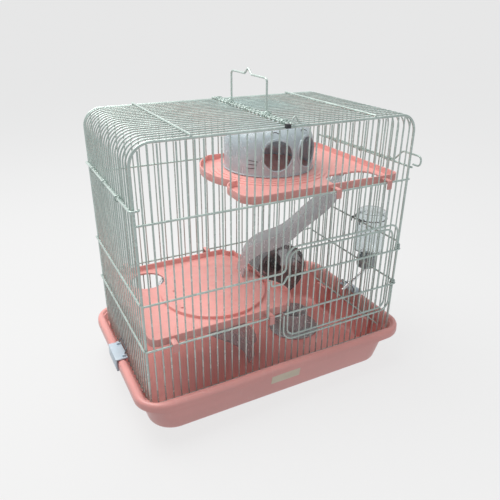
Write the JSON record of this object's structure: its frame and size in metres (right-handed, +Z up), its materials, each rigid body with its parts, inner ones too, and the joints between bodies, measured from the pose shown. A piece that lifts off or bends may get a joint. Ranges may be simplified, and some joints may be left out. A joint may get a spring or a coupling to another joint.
{
  "type": "hamster cage",
  "caption": "Three-level wire hamster cage on a pink tray, with platforms, slides, domed house, running wheel, food bowl, water bottle, hinged front door and top handle",
  "frame": {"origin": "middle of the tray's flat underside, on the surface that the cage stands on", "axes": "X along the long front to the right, Y from the front to the back, Z up"},
  "size_m": [0.5162, 0.3, 0.4921],
  "materials": {
    "pink_plastic": "injection moulded, satin",
    "painted_wire": "powder coated pale mint",
    "blue_clip_plastic": "moulded, pale blue",
    "clear_blue_plastic": "translucent pale blue",
    "smoke_plastic": "translucent smoke grey",
    "dark_plastic": "moulded, dark grey",
    "dark_steel": "plain spring steel",
    "bright_steel": "polished tube",
    "sticker": "blank paper label"
  },
  "bodies": {
    "tray": {"base_tray": "pink_plastic", "tray_label": "sticker"},
    "cage": {"left_tie_rod": "painted_wire", "right_tie_rod": "painted_wire", "left_side_grille": "painted_wire", "left_corner_bends": "painted_wire", "left_roof_grille": "painted_wire", "right_side_grille": "painted_wire", "right_corner_bends": "painted_wire", "right_roof_grille": "painted_wire", "back_grille": "painted_wire", "front_border_wire": "painted_wire", "front_grille_left": "painted_wire", "front_grille_upper": "painted_wire", "front_grille_lower": "painted_wire", "door_arch_wire": "painted_wire", "door_sill_wire": "painted_wire", "latch_post_wire": "painted_wire", "roof_joint_rings": "painted_wire", "handle_rings": "painted_wire", "left_tie_eyes": "painted_wire", "right_tie_eyes": "painted_wire", "roof_catch": "dark_plastic", "upper_platform": "pink_plastic", "lower_platform": "pink_plastic", "upper_ramp": "clear_blue_plastic", "lower_ramp": "clear_blue_plastic", "wheel_axle": "dark_steel", "wheel_cap": "dark_plastic", "wheel_plate": "dark_plastic", "wheel_nut": "dark_plastic"},
    "door": {"door_grille": "painted_wire", "door_upper_rod": "painted_wire", "door_lower_rod": "painted_wire"},
    "handle": {"carry_handle": "painted_wire"},
    "left_latch": {"left_tray_latch": "blue_clip_plastic", "left_latch_bail": "dark_steel"},
    "right_latch": {"right_tray_latch": "blue_clip_plastic", "right_latch_bail": "dark_steel"},
    "left_hook": {"left_tie_hook": "painted_wire"},
    "right_hook": {"right_tie_hook": "painted_wire"},
    "wheel": {"wheel_drum": "smoke_plastic"},
    "house": {"house_dome": "clear_blue_plastic"},
    "bowl": {"food_bowl": "clear_blue_plastic"},
    "bottle": {"bottle_body": "clear_blue_plastic", "bottle_cap": "dark_plastic", "bottle_nozzle": "bright_steel", "bottle_hanger": "dark_steel"},
    "ball": {"nozzle_ball": "bright_steel"}
  },
  "joints": [
    {"name": "cage_lift", "type": "slide", "parent": "tray", "child": "cage", "axis": [0, 0, 1], "range_m": [0, 0.06]},
    {"name": "left_latch_swing", "type": "hinge", "parent": "tray", "child": "left_latch", "pos_m": [-0.2354, 0, 0.0594], "axis": [0, -1, 0], "range_deg": [0, 100]},
    {"name": "right_latch_swing", "type": "hinge", "parent": "tray", "child": "right_latch", "pos_m": [0.2354, 0, 0.0594], "axis": [0, 1, 0], "range_deg": [0, 100]},
    {"name": "door_swing", "type": "hinge", "parent": "cage", "child": "door", "pos_m": [0.21393, -0.12093, 0.18], "axis": [0, 0, 1], "range_deg": [0, 170]},
    {"name": "handle_fold", "type": "hinge", "parent": "cage", "child": "handle", "pos_m": [0, 0, 0.43737], "axis": [0, 1, 0], "range_deg": [-86, 86]},
    {"name": "left_hook_swing", "type": "hinge", "parent": "cage", "child": "left_hook", "pos_m": [-0.21981, 0, 0.35319], "axis": [0, -1, 0], "range_deg": [0, 90]},
    {"name": "right_hook_swing", "type": "hinge", "parent": "cage", "child": "right_hook", "pos_m": [0.21981, 0, 0.35319], "axis": [0, 1, 0], "range_deg": [0, 90]},
    {"name": "wheel_spin", "type": "hinge", "parent": "cage", "child": "wheel", "pos_m": [0.11622, 0, 0.103], "axis": [0, 1, 0], "continuous": true},
    {"name": "house_lift", "type": "slide", "parent": "cage", "child": "house", "axis": [0, 0, 1], "range_m": [0, 0.012]},
    {"name": "bowl_lift", "type": "slide", "parent": "tray", "child": "bowl", "axis": [0, 0, 1], "range_m": [0, 0.04]},
    {"name": "bottle_lift", "type": "slide", "parent": "cage", "child": "bottle", "axis": [0, 0, 1], "range_m": [0, 0.02]},
    {"name": "ball_push", "type": "slide", "parent": "bottle", "child": "ball", "axis": [0.8423, 0, 0.5391], "range_m": [0, 0.0008]}
  ]
}
